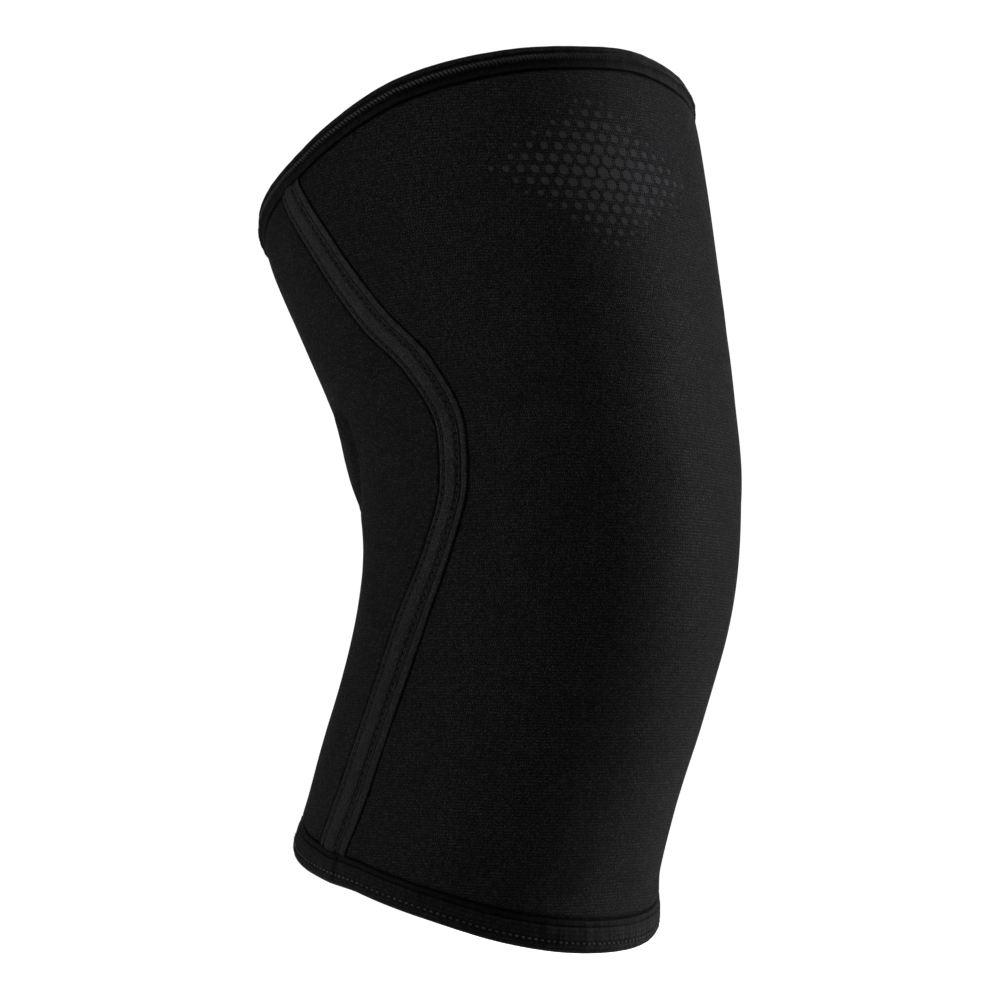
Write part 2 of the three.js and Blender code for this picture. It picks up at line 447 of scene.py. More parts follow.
def cloth_height(run, turn):
    """Length along the fabric from the knee: run plus the way forward of the centreline times its turn."""
    angle, _ = centre_turned(run)
    forward = -np.cos(np.radians(turn)) * half_depth(run, turn)
    return run + forward * angle * np.sign(run)


def smooth_step(low, high, x):
    """0 below low and 1 above high, with 3t^2 - 2t^3 between."""
    t = np.clip((x - low) / (high - low), 0, 1)
    return t * t * (3 - 2 * t)


def ripple(x, waves):
    """Mean of sines of x with the given lengths and phases: an uneven but repeatable wave."""
    sines = [np.sin(2 * np.pi * x / (length * MM) + phase) for length, phase in waves]
    return sum(sines) / len(sines)


def from_seam(run, turn):
    """Distance round the leg from the nearer side seam, positive towards the front."""
    return np.radians(from_back(turn) - seam_turn(run)) * half_size(run, "side")


def panel_lift(run, turn):
    """Relief of the panels: pressed under the bindings, dipped along the seams, puckered beside both."""
    beside = np.maximum(np.abs(from_seam(run, turn)) - tape_half(run), 0)
    dipped = TAPE_DIP * (1 - smooth_step(0.1 * MM, TAPE_DIP_REACH, beside))
    round_leg = np.radians(turn) * UV_RADIUS
    side = np.sign(np.sin(np.radians(turn)))
    near_seam = np.exp(-beside / SEAM_PUCKER_REACH)
    near_hem = np.exp(-np.maximum(from_binding(run), 0) / HEM_PUCKER_REACH)
    seam_pucker = SEAM_PUCKER * near_seam * ripple(run + side * 3 * MM, SEAM_WAVES)
    hem_pucker = HEM_PUCKER * near_hem * ripple(round_leg, HEM_WAVES)
    rising = ripple(run + 0.35 * round_leg, RISING_WAVES)
    waves = CLOTH_WAVE * rising * ripple(round_leg - 0.2 * run, ROUND_WAVES)
    return seam_pucker + hem_pucker + waves - np.maximum(pressed(run), dipped)


def below_knee(run):
    """0 from the knee up, rising to 1 at four tenths of the length below it."""
    return smooth_step(0, 0.4, -share_at(run))


def panel_painted_shade(run, turn):
    """Painted shade: 1 in the narrow grooves beside the tapes and the bindings, less along the hollow's lip,
    else 0.
    """
    beside = np.maximum(np.abs(from_seam(run, turn)) - tape_half(run), 0)
    behind = from_seam(run, turn) < 0
    groove_end = np.where(behind, GROOVE_END_BEHIND, GROOVE_END)
    fainter = np.where(behind, 1, 1 - 0.5 * below_knee(run))
    at_tape = fainter * (1 - smooth_step(GROOVE_START, groove_end, beside))
    at_binding = 1 - smooth_step(GROOVE_START, GROOVE_END, from_binding(run))
    from_lip, deep = hollow(run, turn)
    at_lip = smooth_step(-1.2, 0.2, from_lip) * (1 - smooth_step(1.5, 5, from_lip))
    in_hollow = LIP_SHADE * at_lip * smooth_step(0, 0.5 * WALL, deep)
    return np.maximum(np.maximum(at_tape, at_binding), in_hollow)


def gathered(count, gather):
    """count + 1 steps from 0 to 1, closer together near both ends: u - gather sin(2 pi u) / (2 pi)."""
    u = np.linspace(0, 1, count + 1)
    return u - gather * np.sin(2 * np.pi * u) / (2 * np.pi)


def grid_faces(rows, columns, close_rows, close_columns):
    """Quads between the neighbours of a grid of points, with each corner's row and column."""
    i = np.arange(rows if close_rows else rows - 1)[:, None] + np.array([0, 0, 1, 1])
    j = np.arange(columns if close_columns else columns - 1)[:, None] + np.array([0, 1, 1, 0])
    i, j = np.broadcast_arrays(i[:, None, :], j[None, :, :])
    quads = (i % rows) * columns + j % columns
    return quads.reshape(-1, 4), i.reshape(-1, 4), j.reshape(-1, 4)


def add_piece(name, points, faces, materials, uv=None, kinds=None, painted_shade=None):
    """Mesh object from arrays, smooth shaded, riding on the root body."""
    mesh = bpy.data.meshes.new(name)
    mesh.from_pydata(points.reshape(-1, 3).tolist(), [], faces)
    # The painted shade's mask, kept as a point attribute that the cloth materials darken by
    if painted_shade is not None:
        deep = mesh.attributes.new("painted_shade", "FLOAT", "POINT")
        deep.data.foreach_set("value", painted_shade.astype(np.float32).ravel())
    if uv is not None:
        layer = mesh.uv_layers.new(name="cloth")
        layer.data.foreach_set("uv", uv.astype(np.float32).ravel())
    for material in materials:
        mesh.materials.append(material)
    mesh.polygons.foreach_set("use_smooth", np.ones(len(mesh.polygons), bool))
    if kinds is not None:
        mesh.polygons.foreach_set("material_index", kinds.astype(np.int32))
    mesh.update()
    piece = bpy.data.objects.new(name, mesh)
    bpy.context.collection.objects.link(piece)
    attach(piece, "root")
    return piece


def sheet_piece(name, outer, inner, uv, painted_shade, materials):
    """Closed sheet between two grids of points: over the outer one and back over the inner one, capped."""
    loop = np.concatenate([outer, inner[:, ::-1]], axis=1)
    cloth = np.concatenate([uv, uv[:, ::-1], uv[:, :1]], axis=1)
    # The outer face keeps its painted shade and the inner face gets none
    painted_shade = np.concatenate([painted_shade, 0 * painted_shade], axis=1)
    rows, wide = loop.shape[:2]
    quads, i, j = grid_faces(rows, wide, False, True)
    columns = outer.shape[1]
    start = np.arange(columns - 1)
    lower = np.stack([start, wide - 1 - start, wide - 2 - start, start + 1], -1)
    upper = (rows - 1) * wide + lower[:, ::-1]
    caps = np.concatenate([lower, upper])
    cap_uv = cloth[caps // wide, caps % wide]
    corner_uv = np.concatenate([cloth[i, j], cap_uv])
    inside = (j[:, 0] >= columns) & (j[:, 0] < wide - 1)
    kinds = np.concatenate([inside * 1, np.zeros(len(caps))]) if len(materials) > 1 else None
    faces = np.concatenate([quads, caps]).tolist()
    return add_piece(name, loop, faces, materials, corner_uv, kinds, painted_shade)


def panel_piece(name, start, end, columns, materials, slot):
    """Fabric panel from seam to seam. start and end give its first and last turn in each row."""
    low, high = BINDING_CLOTH - LENGTH_BELOW, LENGTH_ABOVE - BINDING_CLOTH
    run = low + (high - low) * gathered(PANEL_ROWS, ROW_GATHER)[:, None]
    turn = start(run) + (end(run) - start(run)) * gathered(columns, COLUMN_GATHER)
    run = np.broadcast_to(run, turn.shape)
    uv = np.stack([np.radians(turn) * UV_RADIUS, cloth_height(run, turn)], -1)
    outer = place(run, turn, panel_lift(run, turn))
    inner = place(run, turn, pressed(run) - WALL)
    return sheet_piece(name, outer, inner, uv, panel_painted_shade(run, turn), materials)


def tape_piece(name, side, material):
    """Seam tape: the tape's section carried along the side seam, between the two bindings."""
    low = BOTTOM_BINDING - LENGTH_BELOW - TAPE_UNDER_BINDING
    high = LENGTH_ABOVE - TOP_BINDING + TAPE_UNDER_BINDING
    run = np.linspace(low, high, TAPE_ROWS)[:, None]
    at = np.sin(np.linspace(-1, 1, TAPE_COLUMNS) * np.pi / 2)
    lift = along_table(TAPE_SECTION, at, "lift") * MM
    flatter = 1 - 0.45 * smooth_step(0.1, 0.6, np.abs(share_at(run))) * smooth_step(0.3, 0.6, at)
    tucked = SQUEEZE * (1 - smooth_step(-TAPE_UNDER_BINDING, TAPE_TUCK_REACH, from_binding(run)))
    rumple = TAPE_RUMPLE * ripple(run, ((5.3, 0.2 + side), *TAPE_WAVES)) * (1 - at ** 4)
    across = at * tape_half(run)
    turn = side * (seam_turn(run) + np.degrees(across / half_size(run, "side")))
    outer = place(run, turn, lift * flatter + rumple - tucked)
    inner = place(run, turn, np.minimum(lift, 0) - TAPE_DIP - tucked)
    middle = place(run, side * seam_turn(run), 0)[:, 0]
    along = np.concatenate([[0], np.cumsum(np.linalg.norm(np.diff(middle, axis=0), axis=1))])
    uv = np.stack(np.broadcast_arrays(along[:, None], across), -1)
    # Painted shade in the tape's stitch grooves and at its edges, and a lighter painted shade over the whole
    # tape below the knee
    painted_shade = np.maximum(1 - smooth_step(-0.1 * MM, 0.25 * MM, lift), TAPE_SHADE * below_knee(run))
    if side < 0:
        outer, inner, uv, painted_shade = outer[:, ::-1], inner[:, ::-1], uv[:, ::-1], painted_shade[:, ::-1]
    return sheet_piece(name, outer, inner, uv, painted_shade, [material])


def binding_surface(face, length, sign, from_rim, turn):
    """Point on a binding's outer face: the face's lift, raised where a tape ends under it, puckered."""
    run = sign * (length - from_rim)
    lift = along_table(face, from_rim / MM, "lift") * MM
    over_tape = np.exp(-(from_seam(run, turn) / TAPE_BUMP_REACH) ** 4)
    foot = face["at"][-1] * MM
    raised = TAPE_BUMP * over_tape * smooth_step(3 * MM, foot - 2 * MM, from_rim)
    round_leg = np.radians(turn) * UV_RADIUS
    pulled = STITCH_PULL * np.cos(2 * np.pi * round_leg / BOTTOM_STITCHES["pitch"])
    pucker = pulled + BINDING_PUCKER * ripple(round_leg, BINDING_WAVES)
    join = BINDING_END_DEPTH * binding_end(run, turn)
    edge = smooth_step(0, 0.5 * MM, foot - from_rim)
    return place(run, turn, lift + (raised + pucker - join) * edge)


def binding_end(run, turn):
    """1 along the join of the bottom binding's ends, e^-(distance / width)^2, and 0 on the top binding."""
    beside = np.radians(turn - BINDING_END_TURN) * half_size(run, "side")
    return np.where(run < 0, np.exp(-(beside / BINDING_END_WIDTH) ** 2), 0)


def binding_piece(name, face, length, sign, material):
    """Binding: outer face, half-round roll over the rim and plain inner face, carried round the leg."""
    turn = np.linspace(0, 360, BINDING_COLUMNS, endpoint=False)[None, :]
    foot = face["at"][-1] * MM
    down = np.linspace(foot, ROLL, BINDING_FACE_ROWS)[:, None]
    outer = binding_surface(face, length, sign, down, turn)
    angle = np.linspace(0, np.pi, BINDING_ROLL_ROWS)[1:-1, None]
    outside = face["lift"][0] * MM
    inside = -WALL + SQUEEZE - BINDING_CLOTH
    middle, reach = (outside + inside) / 2, (outside - inside) / 2
    round_leg = np.radians(turn) * UV_RADIUS
    wave = ROLL_PUCKER * ripple(round_leg, BINDING_WAVES)
    roll_from_rim = ROLL * (1 - np.sin(angle) ** 0.8)
    roll = place(sign * (length - roll_from_rim), turn, middle + (reach + wave) * np.cos(angle))
    up = np.linspace(ROLL, foot, BINDING_INNER_ROWS)[:, None]
    inner = place(sign * (length - up), turn, inside + 0 * up)
    behind_cloth = SQUEEZE - WALL - PANEL_GAP
    before_cloth = PANEL_GAP - SQUEEZE
    lining_height = np.array([foot, BINDING_CLOTH, BINDING_CLOTH, foot])[:, None]
    lining_lift = np.array([behind_cloth, behind_cloth, before_cloth, before_cloth])[:, None]
    lining = place(sign * (length - lining_height), turn, lining_lift)
    rows = np.concatenate([outer, roll, inner, lining])
    # Painted shade in the grooves of the binding's face and along the join of the bottom binding's ends
    groove = 1 - smooth_step(-0.1, 0.25, along_table(face, down / MM, "lift"))
    painted_shade = np.zeros(rows.shape[:2])
    painted_shade[:len(outer)] = np.maximum(groove, binding_end(sign * (length - down), turn))
    step = np.linalg.norm(np.diff(rows[:, 0], axis=0, append=rows[:1, 0]), axis=1)
    along = np.concatenate([[0], np.cumsum(step)])
    around = np.radians(np.append(turn[0], 360)) * UV_RADIUS
    cloth = np.stack(np.broadcast_arrays(around[None, :], along[:, None]), -1)
    quads, i, j = grid_faces(len(rows), BINDING_COLUMNS, True, True)
    uv = cloth[i, j]
    if sign < 0:
        quads, uv = quads[:, ::-1], uv[:, ::-1]
    return add_piece(name, rows, quads.tolist(), [material], uv, painted_shade=painted_shade)


def stitch_row(name, path, outward, sizes, material):
    """Thread stitches along a path: at each centre a capsule bent outward, radius * (1 - t^6)^(1/2)."""
    step = np.linalg.norm(np.diff(path, axis=0), axis=1)
    along = np.concatenate([[0], np.cumsum(step)])
    count = int(along[-1] / sizes["pitch"])
    centre = (np.arange(count) + 0.5) * along[-1] / count
    slant = math.radians(sizes["slant"])
    t = np.linspace(-0.96, 0.96, STITCH_RINGS)
    ahead_by = t * sizes["length"] / 2 * math.cos(slant)
    aside_by = t * sizes["length"] / 2 * math.sin(slant)
    s = centre[:, None] + ahead_by
    point = np.stack([np.interp(s, along, path[:, k]) for k in range(3)], -1)
    normal = np.stack([np.interp(s, along, outward[:, k]) for k in range(3)], -1)
    sideways = np.cross(point[:, -1] - point[:, 0], normal[:, len(t) // 2])
    sideways /= np.linalg.norm(sideways, axis=-1, keepdims=True)
    point = point + sideways[:, None] * aside_by[:, None]
    ahead = np.gradient(point, axis=1)
    ahead /= np.linalg.norm(ahead, axis=-1, keepdims=True)
    across = np.cross(ahead, normal)
    across /= np.linalg.norm(across, axis=-1, keepdims=True)
    thick = sizes["radius"] * np.sqrt(1 - t ** 6)
    phi = np.arange(STITCH_SIDES) * 2 * np.pi / STITCH_SIDES
    up = (sizes["arch"] * (1 - t ** 2))[:, None] + thick[:, None] * np.cos(phi)
    aside = thick[:, None] * np.sin(phi)
    points = (point[:, :, None] + normal[:, :, None] * up[None, ..., None]
              + across[:, :, None] * aside[None, ..., None])
    one, _, _ = grid_faces(len(t), len(phi), False, True)
    start = (np.arange(count) * len(t) * len(phi))[:, None, None]
    quads = (one[None] + start).reshape(-1, 4)
    ring = np.arange(len(phi))
    caps = np.stack([ring[::-1], (len(t) - 1) * len(phi) + ring])
    caps = (caps[None] + start).reshape(-1, len(phi))
    return add_piece(name, points, quads.tolist() + caps.tolist(), [material])


def outward_of(run, turn):
    """Direction of the outer face's lift."""
    out = place(run, turn, 1 * MM) - place(run, turn, 0)
    return out / np.linalg.norm(out, axis=-1, keepdims=True)


class NodeTree:
    """A node tree being built: each call adds a node, feeds its inputs and returns it or its output."""

    def __init__(self, tree):
        self.tree = tree

    def add(self, kind, inputs=None, **settings):
        """Adds a node with its settings, and links or sets the inputs named."""
        made = self.tree.nodes.new(kind)
        for key, value in settings.items():
            setattr(made, key, value)
        for key, value in (inputs or {}).items():
            self.feed(made.inputs[key], value)
        return made

    def feed(self, socket, value):
        """Links another node's output to an input, or sets the input's own value."""
        if isinstance(value, bpy.types.NodeSocket):
            self.tree.links.new(value, socket)
        else:
            socket.default_value = value

    def math(self, operation, *values, clamp=False):
        """One Math node."""
        inputs = dict(enumerate(values))
        return self.add("ShaderNodeMath", inputs, operation=operation, use_clamp=clamp).outputs[0]

    def between(self, low, high, value):
        """Map Range from low..high to 0..1, smooth."""
        inputs = {"Value": value, "From Min": low, "From Max": high}
        return self.add("ShaderNodeMapRange", inputs, interpolation_type="SMOOTHSTEP").outputs[0]

    def noise(self, vector, scale, detail=2.0, roughness=0.6):
        """Noise Texture's value."""
        inputs = {"Vector": vector, "Scale": scale, "Detail": detail, "Roughness": roughness}
        return self.add("ShaderNodeTexNoise", inputs).outputs["Fac"]

    def mix(self, factor, a, b):
        """Mix of two colours."""
        made = self.add("ShaderNodeMix", data_type="RGBA")
        for index, value in ((0, factor), (6, a), (7, b)):
            self.feed(made.inputs[index], value)
        return made.outputs[2]


# Near-black colour of the painted shade in grooves, crevices and along the hollow's lip, how much of it
# covers the cloth, and the cloth's weak gloss
PAINTED_SHADE_COLOUR = (0.0006, 0.0006, 0.0006, 1)
PAINTED_SHADE_COVER = 0.92
CLOTH_GLOSS = 0.06

# Noise of the knit, in waves per metre: loose loops, single fibres and the cloth's soft blotches
LOOSE_SCALE = 800.0
FIBRE_SCALE = 2300.0
BLOTCH_SCALE = 70.0

# How far the loose noise moves the loops, in rows for a slack of one
LOOSE_REACH = 4.0

# Shares of a loop's brightness: a random value per loop, streaks along the row, and single fibres
LOOP_SHARE = 0.24
STREAK_SHARE = 0.06
FIBRE_SHARE = 0.7

# Brightness left in the painted shade of the valleys between the rows, and the share of the brightness in
# the knit's height
SHADED_VALLEY_TONE = 0.25
BRIGHT_RELIEF = 0.4

# Noise of the sewing thread, in waves per metre: fine specks and worn lengths
SPECK_SCALE = 1800.0
WEAR_SCALE = 110.0


def knit_group():
    """Node group of a weft knit: rows of loops, each row shifted by a random part of a loop.

    Height is sin(pi row) * (1 - relief * half a cosine of the loop), with a share of Tone's brightness.
    Tone is a brightness, of a random value per loop, streaks along the row and fine noise, times the
    crest of the loop, which paints shade into the valleys between the rows. Both are on coordinates that
    noise shifts a little.
    """
    tree = bpy.data.node_groups.new("Knit face", "ShaderNodeTree")
    face = tree.interface
    face.new_socket("Cloth", in_out="INPUT", socket_type="NodeSocketVector")
    sizes = {"Row Height": 1.25 * MM, "Loop Width": 1.1 * MM, "Slack": 0.3, "Loop Relief": 0.5}
    for name, value in sizes.items():
        face.new_socket(name, in_out="INPUT", socket_type="NodeSocketFloat").default_value = value
    for name in ("Height", "Tone"):
        face.new_socket(name, in_out="OUTPUT", socket_type="NodeSocketFloat")
    n = NodeTree(tree)
    given = n.add("NodeGroupInput").outputs
    cloth = given["Cloth"]
    loose_noise = {"Vector": cloth, "Scale": LOOSE_SCALE, "Detail": 2.0}
    shift = n.add("ShaderNodeTexNoise", loose_noise).outputs["Color"]
    centred = n.add("ShaderNodeVectorMath", {0: shift, 1: (0.5, 0.5, 0.5)}, operation="SUBTRACT").outputs[0]
    slack = n.math("MULTIPLY", given["Slack"], given["Row Height"])
    slack = n.math("MULTIPLY", slack, LOOSE_REACH)
    moved = n.add("ShaderNodeVectorMath", {0: centred, "Scale": slack}, operation="SCALE").outputs[0]
    loose = n.add("ShaderNodeVectorMath", {0: cloth, 1: moved}, operation="ADD").outputs[0]
    parts = n.add("ShaderNodeSeparateXYZ", {0: loose}).outputs
    row = n.math("DIVIDE", parts["Y"], given["Row Height"])
    row_number = n.math("FLOOR", row)
    row_share = n.math("SUBTRACT", row, row_number)
    offset = n.add("ShaderNodeTexWhiteNoise", {"W": row_number}, noise_dimensions="1D").outputs["Value"]
    loop = n.math("ADD", n.math("DIVIDE", parts["X"], given["Loop Width"]), offset)
    loop_number = n.math("FLOOR", loop)
    ridge = n.math("SINE", n.math("MULTIPLY", row_share, math.pi))
    bump = n.math("COSINE", n.math("MULTIPLY", n.math("SUBTRACT", loop, loop_number), 2 * math.pi))
    bump = n.math("MULTIPLY", n.math("ADD", bump, 1.0), 0.5)
    dent = n.math("SUBTRACT", 1.0, n.math("MULTIPLY", bump, given["Loop Relief"]))
    height = n.math("MULTIPLY", ridge, dent)
    cell = n.add("ShaderNodeCombineXYZ", {"X": loop_number, "Y": row_number}).outputs[0]
    random = n.add("ShaderNodeTexWhiteNoise", {"Vector": cell}, noise_dimensions="2D").outputs["Value"]
    fibre = n.between(0.35, 0.65, n.noise(cloth, FIBRE_SCALE, 3.0, 0.75))
    run_on = n.add("ShaderNodeCombineXYZ", {"X": n.math("MULTIPLY", loop, 0.3), "Y": row_number}).outputs[0]
    streak = n.between(0.25, 0.75, n.noise(run_on, 1.0, 2.0, 0.6))
    random = n.math("MULTIPLY", random, LOOP_SHARE)
    bright = n.math("ADD", random, n.math("MULTIPLY", streak, STREAK_SHARE))
    bright = n.math("ADD", bright, n.math("MULTIPLY", fibre, FIBRE_SHARE))
    # Painted shade in the valleys between the rows: darker where the knit's height is low
    crest = n.between(0.0, 0.85, height)
    painted_valley_shade = n.math("ADD", n.math("MULTIPLY", crest, 1 - SHADED_VALLEY_TONE), SHADED_VALLEY_TONE)
    tone = n.math("MULTIPLY", n.between(0.25, 0.85, bright), painted_valley_shade)
    rise = n.math("MULTIPLY", bright, BRIGHT_RELIEF)
    height = n.math("ADD", n.math("MULTIPLY", height, 1 - BRIGHT_RELIEF), rise)
    n.add("NodeGroupOutput", {"Height": height, "Tone": tone})
    return tree


def cloth_material(name, group, sizes, dark, light, roughness, relief, sheen, colour_of=None):
    """Fabric: the knit group's tone between two colours, darkened by the mesh's painted shade mask, its
    height as bump, and the shader's own sheen.
    """
    material = bpy.data.materials.new(name)
    material.use_nodes = True
    n = NodeTree(material.node_tree)
    shader = material.node_tree.nodes["Principled BSDF"]
    cloth = n.add("ShaderNodeUVMap", uv_map="cloth").outputs[0]
    knit = n.add("ShaderNodeGroup", node_tree=group)
    n.tree.links.new(cloth, knit.inputs["Cloth"])
    for key, value in sizes.items():
        knit.inputs[key].default_value = value
    height, tone = knit.outputs["Height"], knit.outputs["Tone"]
    blotch = n.between(0.3, 0.7, n.noise(cloth, BLOTCH_SCALE, 3.0, 0.6))
    tone = n.math("MULTIPLY", tone, n.math("ADD", n.math("MULTIPLY", blotch, 0.25), 0.85))
    # Painted shade: the cloth's colour goes towards near black where the mesh's painted shade mask is set
    painted_shade = n.add("ShaderNodeAttribute", attribute_name="painted_shade").outputs["Fac"]
    colour = n.mix(tone, (*dark, 1), (*light, 1))
    colour = n.mix(n.math("MULTIPLY", painted_shade, PAINTED_SHADE_COVER), colour, PAINTED_SHADE_COLOUR)
    rough = n.math("ADD", n.math("MULTIPLY", tone, -0.12), roughness)
    if colour_of is not None:
        colour, rough, height = colour_of(n, cloth, colour, rough, height)
    bump = n.add("ShaderNodeBump", {"Strength": 1.0, "Distance": relief, "Height": height})
    n.tree.links.new(colour, shader.inputs["Base Color"])
    n.tree.links.new(rough, shader.inputs["Roughness"])
    n.tree.links.new(bump.outputs[0], shader.inputs["Normal"])
    shader.inputs["Specular IOR Level"].default_value = CLOTH_GLOSS
    shader.inputs["Sheen Weight"].default_value = sheen
    shader.inputs["Sheen Roughness"].default_value = 0.45
    return material


def printed(n, cloth, colour, rough, height):
    """Adds the print: round dots in rows, each half a step on, that shrink towards a lozenge's edge.

    A dot's radius is the full radius times (1 - |x|/width - |y|/height)^fade, taken at its centre.
    """
    stretch = half_size(np.array(PRINT_RUN), "front") / UV_RADIUS
    height_up = float(cloth_height(np.array(PRINT_RUN), np.array(PRINT_TURN)))
    centre = (math.radians(PRINT_TURN) * UV_RADIUS, height_up, 0)
    widen = (float(stretch), 1, 1)
    local = n.add("ShaderNodeVectorMath", {0: cloth, 1: centre}, operation="SUBTRACT").outputs[0]
    local = n.add("ShaderNodeVectorMath", {0: local, 1: widen}, operation="MULTIPLY").outputs[0]
    parts = n.add("ShaderNodeSeparateXYZ", {0: local}).outputs
    row_step = PRINT_DOT_STEP * math.sqrt(3) / 2
    row = n.math("ROUND", n.math("DIVIDE", parts["Y"], row_step))
    half_on = n.math("MULTIPLY", n.math("FLOORED_MODULO", row, 2.0), 0.5)
    across = n.math("ADD", n.math("DIVIDE", parts["X"], PRINT_DOT_STEP), half_on)
    column = n.math("SUBTRACT", n.math("ROUND", across), half_on)
    dot_x = n.math("MULTIPLY", column, PRINT_DOT_STEP)
    dot_y = n.math("MULTIPLY", row, row_step)
    gone_x = n.math("DIVIDE", n.math("ABSOLUTE", dot_x), PRINT_HALF_WIDTH)
    gone_y = n.math("DIVIDE", n.math("ABSOLUTE", dot_y), PRINT_HALF_HEIGHT)
    left = n.math("SUBTRACT", n.math("SUBTRACT", 1.0, gone_x), gone_y, clamp=True)
    radius = n.math("MULTIPLY", n.math("POWER", left, PRINT_FADE), PRINT_DOT_RADIUS)
    off_x = n.math("SUBTRACT", parts["X"], dot_x)
    off_y = n.math("SUBTRACT", parts["Y"], dot_y)
    squared = n.math("ADD", n.math("MULTIPLY", off_x, off_x), n.math("MULTIPLY", off_y, off_y))
    distance = n.math("SQRT", squared)
    inside = n.between(-PRINT_DOT_EDGE, PRINT_DOT_EDGE, n.math("SUBTRACT", radius, distance))
    ink = n.math("MULTIPLY", inside, PRINT_COVER)
    colour = n.mix(ink, colour, PRINT_COLOUR)
    rough = n.math("SUBTRACT", rough, n.math("MULTIPLY", ink, PRINT_GLOSS))
    height = n.math("MULTIPLY", height, n.math("SUBTRACT", 1.0, n.math("MULTIPLY", ink, PRINT_FILL)))
    height = n.math("ADD", height, n.math("MULTIPLY", ink, PRINT_RISE))
    return colour, rough, height


def thread_material(name, colour, roughness):
    """Twisted sewing thread: a fine noise in its colour and a soft gloss."""
    material = bpy.data.materials.new(name)
    material.use_nodes = True
    n = NodeTree(material.node_tree)
    shader = material.node_tree.nodes["Principled BSDF"]
    here = n.add("ShaderNodeTexCoord").outputs["Object"]
    speck = n.between(0.3, 0.7, n.noise(here, SPECK_SCALE, 2.0, 0.6))
    worn = n.between(0.42, 0.66, n.noise(here, WEAR_SCALE, 3.0, 0.7))
    darker = tuple(0.15 * c for c in colour)
    tone = n.math("MULTIPLY", n.math("ADD", n.math("MULTIPLY", speck, 0.5), 0.5), worn)
    n.tree.links.new(n.mix(tone, (*darker, 1), (*colour, 1)), shader.inputs["Base Color"])
    bump = n.add("ShaderNodeBump", {"Strength": 0.6, "Distance": 0.08 * MM, "Height": speck})
    n.tree.links.new(bump.outputs[0], shader.inputs["Normal"])
    shader.inputs["Roughness"].default_value = roughness
    shader.inputs["Sheen Weight"].default_value = 0.03
    return material


def edge_turns(front):
    """First and last turn of a panel's rows, a hair's breadth off the seam."""
    def set_back(run):
        return np.degrees(PANEL_GAP / half_size(run, "side"))
    if front:
        return lambda run: seam_turn(run) + set_back(run), lambda run: 360 - seam_turn(run) - set_back(run)
    return lambda run: set_back(run) - seam_turn(run), lambda run: seam_turn(run) - set_back(run)


def tape_stitches(side, line, material):
    """One line of stitches along a tape, sunk in the tape's groove."""
    run = np.linspace(BOTTOM_BINDING - LENGTH_BELOW, LENGTH_ABOVE - TOP_BINDING, TAPE_PATH_POINTS)
    turn = side * (seam_turn(run) + np.degrees(line * tape_half(run) / half_size(run, "side")))
    path = place(run, turn, STITCH_LIFT)
    name = f"tape_stitches_{'right' if side > 0 else 'left'}_{'back' if line < 0 else 'front'}"
    return stitch_row(name, path, outward_of(run, turn), TAPE_STITCHES, material)


def binding_stitches(name, face, length, sign, sizes, material):
    """One line of stitches round a binding, on its outer face."""
    turn = np.linspace(0, 360, BINDING_PATH_POINTS)
    path = binding_surface(face, length, sign, np.array(sizes["from_rim"]), turn)
    outward = outward_of(sign * (length - sizes["from_rim"]) + 0 * turn, turn)
    return stitch_row(name, path + STITCH_LIFT * outward, outward, sizes, material)


# Materials
knit = knit_group()
front_knit = cloth_material(
    "Front knit", knit,
    sizes={"Row Height": 1.1 * MM, "Loop Width": 0.85 * MM, "Slack": 0.24, "Loop Relief": 0.8},
    dark=(0.001, 0.001, 0.0011), light=(0.07, 0.07, 0.073),
    roughness=0.62, relief=1.5 * MM, sheen=0.008, colour_of=printed)
back_knit = cloth_material(
    "Back knit", knit,
    sizes={"Row Height": 1.1 * MM, "Loop Width": 1.2 * MM, "Slack": 0.6, "Loop Relief": 0.8},
    dark=(0.001, 0.001, 0.001), light=(0.05, 0.05, 0.051),
    roughness=0.68, relief=0.6 * MM, sheen=0.01)
inner_jersey = cloth_material(
    "Inner jersey", knit,
    sizes={"Row Height": 0.9 * MM, "Loop Width": 0.7 * MM, "Slack": 0.2, "Loop Relief": 0.3},
    dark=(0.006, 0.006, 0.006), light=(0.016, 0.016, 0.016),
    roughness=0.7, relief=0.1 * MM, sheen=0.03)
tape_cloth = cloth_material(
    "Tape cloth", knit,
    sizes={"Row Height": 0.9 * MM, "Loop Width": 1.3 * MM, "Slack": 0.4, "Loop Relief": 0.5},
    dark=(0.008, 0.008, 0.008), light=(0.064, 0.064, 0.065),
    roughness=0.62, relief=0.25 * MM, sheen=0.02)
binding_cloth = cloth_material(
    "Binding cloth", knit,
    sizes={"Row Height": 1.6 * MM, "Loop Width": 0.8 * MM, "Slack": 0.3, "Loop Relief": 0.6},
    dark=(0.0008, 0.0008, 0.0009), light=(0.025, 0.025, 0.026),
    roughness=0.58, relief=0.3 * MM, sheen=0.016)
dark_thread = thread_material("Dark thread", (0.004, 0.004, 0.004), 0.6)
chain_thread = thread_material("Chain stitch thread", (0.02, 0.02, 0.02), 0.6)
hem_thread = thread_material("Hem thread", (0.045, 0.045, 0.045), 0.42)

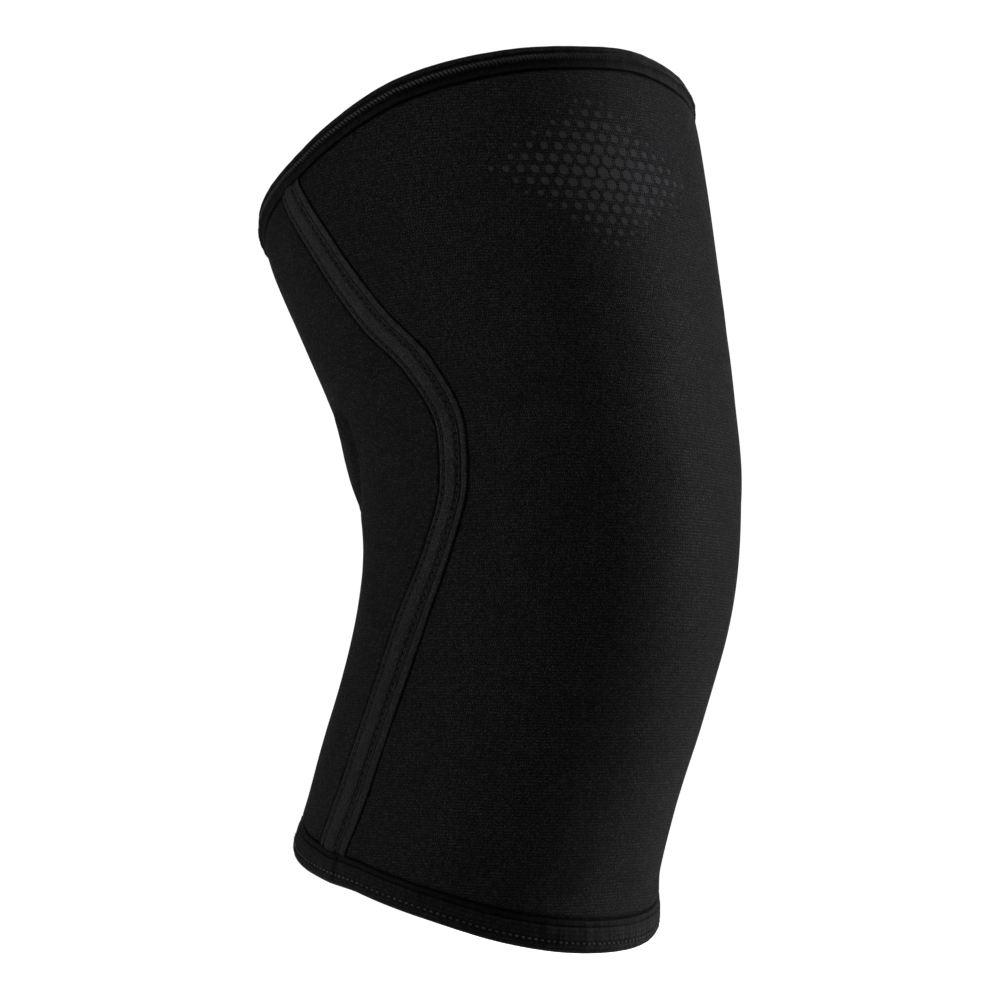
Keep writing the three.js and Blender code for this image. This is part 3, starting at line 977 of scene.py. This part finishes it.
# Pieces
front = panel_piece(
    "knit_front_panel", *edge_turns(True), FRONT_COLUMNS, [front_knit, inner_jersey], "front_knit")
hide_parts("front_panel")
back = panel_piece(
    "knit_back_panel", *edge_turns(False), BACK_COLUMNS, [back_knit, inner_jersey], "back_knit")
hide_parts("back_panel")
right_tape = tape_piece("stitched_tape_right", 1, tape_cloth)
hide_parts("seam_tape_right")
left_tape = tape_piece("stitched_tape_left", -1, tape_cloth)
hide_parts("seam_tape_left")
top_hem = binding_piece("folded_top_binding", TOP_FACE, LENGTH_ABOVE, 1, binding_cloth)
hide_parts("top_binding")
bottom_hem = binding_piece("folded_bottom_binding", BOTTOM_FACE, LENGTH_BELOW, -1, binding_cloth)
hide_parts("bottom_binding")
seam_rows = [tape_stitches(side, line, dark_thread) for side in (1, -1) for line in TAPE_STITCH_LINES]
top_row = binding_stitches(
    "top_binding_stitches", TOP_FACE, LENGTH_ABOVE, 1, TOP_STITCHES, chain_thread)
bottom_row = binding_stitches(
    "bottom_binding_stitches", BOTTOM_FACE, LENGTH_BELOW, -1, BOTTOM_STITCHES, hem_thread)


def direction(azimuth, elevation):
    """Unit vector from the object towards a viewer at that azimuth and elevation, in degrees."""
    a, e = math.radians(azimuth), math.radians(elevation)
    return Vector((math.sin(a) * math.cos(e), -math.cos(a) * math.cos(e), math.sin(e)))


def soft_light(name, azimuth, elevation, distance, size, power, colour=(1, 1, 1)):
    """Square softbox that looks at the knee."""
    lamp = bpy.data.lights.new(name, "AREA")
    lamp.shape = "RECTANGLE"
    lamp.size, lamp.size_y = size
    lamp.energy = power
    lamp.color = colour
    holder = bpy.data.objects.new(name, lamp)
    away = direction(azimuth, elevation)
    holder.location = away * distance
    holder.rotation_euler = (-away).to_track_quat("-Z", "Y").to_euler()
    bpy.context.collection.objects.link(holder)


# Stage: a pale floor well below the sleeve, and a surround that is white to the camera and hardly lights
FLOOR_DEPTH = 0.26
FLOOR_SIZE = 30
SURROUND_SEEN = 1.05
SURROUND_LIT = 0.01
bpy.ops.mesh.primitive_plane_add(size=FLOOR_SIZE, location=(0, 0, -FLOOR_DEPTH))
floor = bpy.context.object
floor.name = "studio_floor"
paper = bpy.data.materials.new("White paper")
paper.use_nodes = True
paper_shader = paper.node_tree.nodes["Principled BSDF"]
paper_shader.inputs["Base Color"].default_value = (0.9, 0.9, 0.9, 1)
paper_shader.inputs["Roughness"].default_value = 0.9
paper_shader.inputs["Emission Color"].default_value = (1, 1, 1, 1)
paper_nodes = NodeTree(paper.node_tree)
paper_seen = paper_nodes.add("ShaderNodeLightPath").outputs["Is Camera Ray"]
paper.node_tree.links.new(paper_seen, paper_shader.inputs["Emission Strength"])
floor.data.materials.append(paper)

world = bpy.data.worlds.new("Studio surround")
bpy.context.scene.world = world
world.use_nodes = True
surround = NodeTree(world.node_tree)
world.node_tree.nodes.clear()
seen = surround.add("ShaderNodeBackground", {"Color": (1, 1, 1, 1), "Strength": SURROUND_SEEN}).outputs[0]
lit = surround.add("ShaderNodeBackground", {"Color": (1, 1, 1, 1), "Strength": SURROUND_LIT}).outputs[0]
camera_ray = surround.add("ShaderNodeLightPath").outputs["Is Camera Ray"]
both = surround.add("ShaderNodeMixShader", {0: camera_ray, 1: lit, 2: seen}).outputs[0]
surround.add("ShaderNodeOutputWorld", {"Surface": both})

soft_light("key_right", azimuth=160, elevation=10, distance=1.4, size=(0.7, 1.2), power=14.2,
           colour=(0.95, 0.96, 1.0))
soft_light("fill_left", azimuth=-40, elevation=10, distance=1.4, size=(0.7, 1.2), power=7.6)
soft_light("overhead", azimuth=60, elevation=75, distance=1.4, size=(1.0, 1.0), power=9.0)
soft_light("rear", azimuth=225, elevation=15, distance=1.6, size=(1.2, 1.2), power=4.5)

# Camera
camera_data = bpy.data.cameras.new("photo_view")
camera_data.sensor_width = SENSOR_WIDTH
camera_data.lens = SENSOR_WIDTH * VIEW_DISTANCE / (FRAME_PIXELS * MM_PER_PIXEL * MM)
camera = bpy.data.objects.new("photo_view", camera_data)
camera.location = VIEW_TARGET + direction(VIEW_AZIMUTH, VIEW_ELEVATION) * VIEW_DISTANCE
camera.rotation_euler = (-direction(VIEW_AZIMUTH, VIEW_ELEVATION)).to_track_quat("-Z", "Y").to_euler()
bpy.context.collection.objects.link(camera)
bpy.context.scene.camera = camera
bpy.context.scene.view_settings.view_transform = "Standard"
